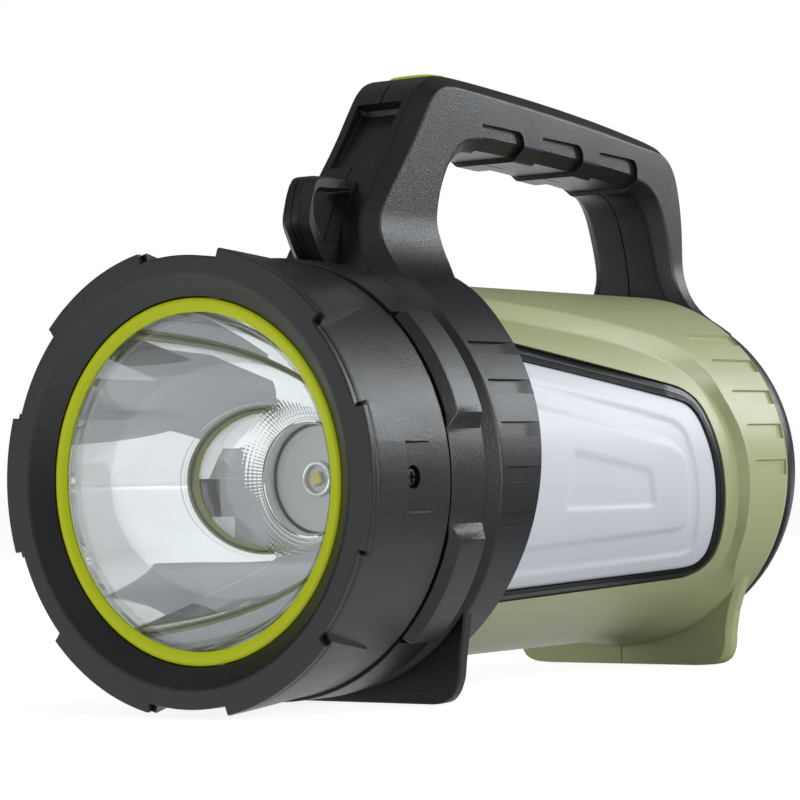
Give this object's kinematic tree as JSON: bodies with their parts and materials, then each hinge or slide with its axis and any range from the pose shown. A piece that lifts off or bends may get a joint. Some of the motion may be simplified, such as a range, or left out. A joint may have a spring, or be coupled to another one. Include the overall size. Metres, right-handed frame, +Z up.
{
  "type": "rechargeable searchlight",
  "caption": "Handheld rechargeable searchlight with a reflector head, a lantern window in each side, a carrying handle, a top button and a flap over the charging inlet.",
  "frame": {"origin": "centre of the bounding box in plan, at the level of the two feet", "axes": "+Z up, the lens looks along -Y, +X is to the right of someone who faces the lens"},
  "size_m": [0.12, 0.2342, 0.1729],
  "materials": {
    "graphite_plastic": "fine-grained dark grey",
    "black_plastic": "fine-grained black",
    "sage_plastic": "satin pale olive green",
    "lime_plastic": "smooth lime",
    "opal_plastic": "smooth opal white",
    "clear_plastic": "clear",
    "mirror_coating": "vacuum-plated mirror",
    "black_rubber": "soft black",
    "red_rubber": "soft red",
    "plated_steel": "dark zinc plate",
    "aluminium": "plain",
    "green_board": "green board",
    "white_board": "white board",
    "cell_wrap": "blue wrap",
    "yellow_phosphor": "yellow phosphor under clear resin"
  },
  "bodies": {
    "lamp": {"bezel_ring": "graphite_plastic", "lens_trim_ring": "lime_plastic", "lens": "clear_plastic", "lens_seal": "black_rubber", "reflector": "mirror_coating", "led_board": "white_board", "led_emitter": "yellow_phosphor", "bulkhead": "aluminium", "heat_sink": "aluminium", "head_barrel": "graphite_plastic", "side_screw_right": "plated_steel", "side_screw_left": "plated_steel", "bumper_right": "graphite_plastic", "bumper_left": "graphite_plastic", "frame_right": "black_plastic", "frame_left": "black_plastic", "case_screw_1": "plated_steel", "case_screw_2": "plated_steel", "case_screw_3": "plated_steel", "shell_right": "sage_plastic", "shell_left": "sage_plastic", "window_trim_right": "graphite_plastic", "window_trim_left": "graphite_plastic", "window_diffuser_right": "opal_plastic", "window_diffuser_left": "opal_plastic", "tact_switch": "black_plastic", "switch_board": "green_board", "rear_cover": "black_plastic", "charge_inlet": "plated_steel", "cover_screw_1": "plated_steel", "cover_screw_2": "plated_steel", "cover_screw_3": "plated_steel", "cover_screw_4": "plated_steel", "chassis": "black_plastic", "lantern_board_right": "white_board", "lantern_board_left": "white_board", "cell_holder": "black_plastic", "cell_1": "cell_wrap", "cell_2": "cell_wrap", "main_board": "green_board", "light_lead_red": "red_rubber", "light_lead_black": "black_rubber", "inlet_lead_red": "red_rubber", "inlet_lead_black": "black_rubber"},
    "power_button": {"power_button": "lime_plastic"},
    "port_flap": {"port_flap": "black_rubber"}
  },
  "joints": [
    {"name": "power_button_press", "type": "slide", "parent": "lamp", "child": "power_button", "axis": [0, 0, -1], "range_m": [0, 0.0015], "stiffness_N_per_m": 1200, "springref_m": -0.0008},
    {"name": "port_flap_hinge", "type": "hinge", "parent": "lamp", "child": "port_flap", "pos_m": [0, 0.1153, 0.06766], "axis": [1, 0, 0], "range_deg": [0, 110]}
  ]
}
